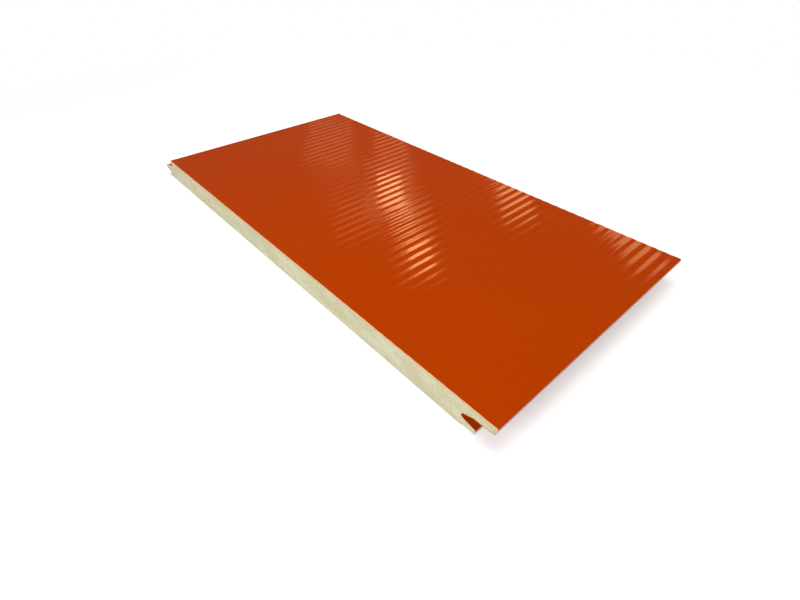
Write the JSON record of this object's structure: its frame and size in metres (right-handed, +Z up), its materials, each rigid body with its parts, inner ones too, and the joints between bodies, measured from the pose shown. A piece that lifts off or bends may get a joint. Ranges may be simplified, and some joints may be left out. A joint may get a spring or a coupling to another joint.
{
  "type": "insulated sandwich panel",
  "caption": "Cut length of insulated wall panel: finely waved painted outer sheet, foam core and flat inner sheet, with a hidden tongue-and-groove joint along its long edges.",
  "frame": {"origin": "centre of the bounding box on the plane of the flat inner face, which the panel rests on", "axes": "+X across the panel's width from the tongue edge to the groove edge; +Y along the panel's length and its waves; +Z up, from the inner face to the waved outer face"},
  "size_m": [1.046, 0.5, 0.05],
  "materials": {
    "outer_coat": "satin orange-red coil coating on steel",
    "foam": "sawn rigid foam, cream",
    "inner_coat": "satin off-white coil coating on steel"
  },
  "bodies": {
    "root": {"outer_sheet": "outer_coat", "foam_core": "foam", "inner_sheet": "inner_coat"}
  },
  "joints": []
}
